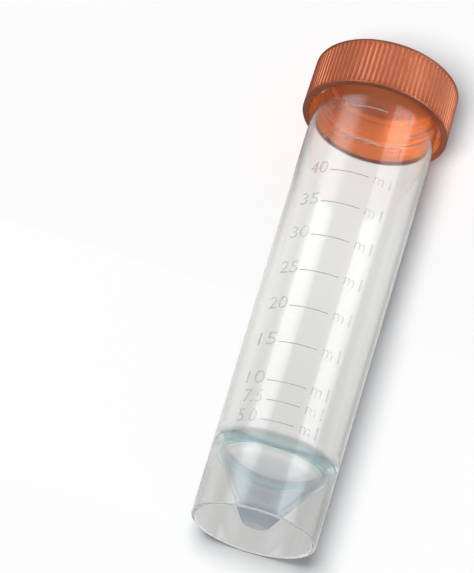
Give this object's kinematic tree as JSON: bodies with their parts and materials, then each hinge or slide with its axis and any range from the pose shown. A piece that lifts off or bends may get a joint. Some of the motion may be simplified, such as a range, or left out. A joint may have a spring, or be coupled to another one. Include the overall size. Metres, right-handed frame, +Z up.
{
  "type": "conical tube",
  "caption": "Self-standing translucent conical tube with a skirted base, raised volume marks and a ribbed orange screw cap.",
  "frame": {"origin": "centre of the ring that the skirt stands on, in the plane it rests on", "axes": "+Z up along the tube's axis towards the cap; the volume marks face -Y, with +X to their right"},
  "size_m": [0.0352, 0.0352, 0.118],
  "materials": {
    "clear_plastic": "natural polypropylene, milky clear and glossy",
    "orange_plastic": "coral orange polyethylene, satin"
  },
  "bodies": {
    "tube_body": {"tube": "clear_plastic"},
    "cap_body": {"screw_cap": "orange_plastic"}
  },
  "joints": [
    {"name": "cap_lift", "type": "slide", "parent": "tube_body", "child": "cap_body", "axis": [0, 0, 1], "range_m": [0, 0.045]}
  ]
}
